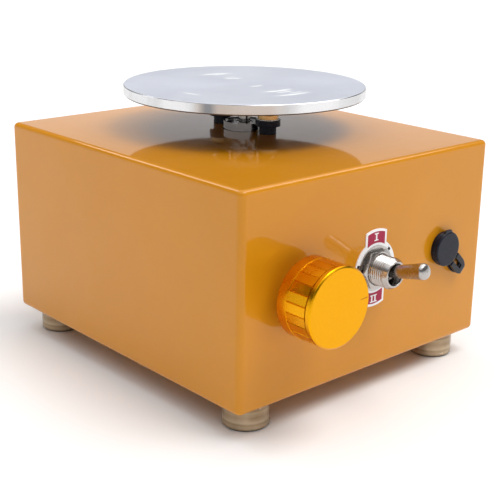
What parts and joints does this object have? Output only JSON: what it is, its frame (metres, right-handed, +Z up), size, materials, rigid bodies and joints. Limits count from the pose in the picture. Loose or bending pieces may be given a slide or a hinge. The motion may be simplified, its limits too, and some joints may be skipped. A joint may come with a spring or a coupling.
{
  "type": "electric banding wheel",
  "caption": "Small motorised pottery wheel: a round turntable on a box case with speed knob, toggle switch, capped power inlet and rubber feet.",
  "frame": {"origin": "bottom centre of the whole object's box, on the table under the feet", "axes": "+Z up along the wheel axis, -Y out of the control panel, +X to the right of someone who faces the panel"},
  "size_m": [0.133, 0.1724, 0.1104],
  "materials": {
    "paint": "high gloss orange-gold paint, slightly pearlescent",
    "disc_aluminium": "fine turned aluminium, satin with bright machining arcs",
    "hub_steel": "turned steel",
    "knob_anodised": "gold anodised, satin face and bright bevel",
    "nickel": "nickel plated, bright",
    "zinc": "zinc plated fasteners",
    "black_steel": "black oxide screws",
    "motor_steel": "zinc plated motor can",
    "bearing_steel": "polished bearing ring",
    "shaft_steel": "ground steel shaft",
    "black_rubber": "soft black rubber, satin",
    "foot_rubber": "grey-brown moulded rubber, satin",
    "black_plastic": "black moulded plastic",
    "brass_screw": "yellow passivated screw",
    "label_print": "printed aluminium plate: red field, white border and numerals",
    "switch_plastic": "dark red phenolic body",
    "contact_metal": "tinned brass terminals",
    "magnet": "ferrite",
    "carbon": "carbon brush",
    "laminations": "stacked electrical steel",
    "copper": "enamelled copper",
    "board": "green solder mask",
    "standoff_plastic": "white nylon",
    "capacitor": "sleeved can",
    "terminal_plastic": "green plastic",
    "wire_insulation": "red, black and grey insulation"
  },
  "bodies": {
    "base": {"case_shell": "paint", "base_plate": "paint", "plate_brackets": "zinc", "plate_screws": "black_steel", "foot_front_left": "foot_rubber", "foot_front_right": "foot_rubber", "foot_back_left": "foot_rubber", "foot_back_right": "foot_rubber", "foot_screws": "zinc", "foot_nuts": "zinc", "motor_can": "motor_steel", "motor_end_cap": "black_plastic", "motor_magnets": "magnet", "motor_brushes": "carbon", "motor_terminals": "contact_metal", "front_bearing": "bearing_steel", "bearing_seal": "black_rubber", "rear_bearing": "bearing_steel", "motor_grommets": "black_rubber", "motor_washers": "zinc", "motor_screws": "brass_screw", "pot_body": "nickel", "pot_bushing": "nickel", "pot_nut": "nickel", "pot_terminals": "contact_metal", "switch_pivot_pin": "nickel", "switch_body": "switch_plastic", "switch_bushing": "nickel", "switch_back_nut": "nickel", "switch_washer": "nickel", "switch_nut": "nickel", "switch_label": "label_print", "switch_terminals": "contact_metal", "jack_body": "black_plastic", "jack_pin": "nickel", "jack_nut": "nickel", "jack_terminals": "contact_metal", "cap_ring": "black_rubber", "cap_strap": "black_rubber", "speed_board": "board", "board_standoffs": "standoff_plastic", "board_transistor": "black_plastic", "board_capacitor": "capacitor", "board_terminals": "terminal_plastic", "power_wires": "wire_insulation", "motor_wires": "wire_insulation", "pot_wires": "wire_insulation"},
    "turntable": {"motor_shaft": "shaft_steel", "rotor_core": "laminations", "rotor_windings": "copper", "commutator": "copper", "turntable_disc": "disc_aluminium", "turntable_hub": "hub_steel", "hub_screws": "black_steel", "hub_set_screw": "black_steel"},
    "speed_knob": {"knob": "knob_anodised", "knob_set_screw": "black_steel", "pot_shaft": "shaft_steel"},
    "switch_lever": {"toggle_lever": "nickel"},
    "inlet_cap": {"dust_cap": "black_rubber"}
  },
  "joints": [
    {"name": "turntable_spin", "type": "hinge", "parent": "base", "child": "turntable", "pos_m": [0.004, 0.01774, 0.0918], "axis": [0, 0, 1], "continuous": true},
    {"name": "knob_turn", "type": "hinge", "parent": "base", "child": "speed_knob", "pos_m": [-0.0404, -0.06076, 0.0513], "axis": [0, -1, 0], "range_deg": [-64, 236]},
    {"name": "toggle_tilt", "type": "hinge", "parent": "base", "child": "switch_lever", "pos_m": [0.0008, -0.06676, 0.0513], "axis": [1, 0, 0], "range_deg": [0, 30]},
    {"name": "cap_open", "type": "hinge", "parent": "base", "child": "inlet_cap", "pos_m": [0.05136, -0.06226, 0.04155], "axis": [0.682, 0, 0.7314], "range_deg": [0, 150], "deforming": ["cap_strap"]}
  ]
}
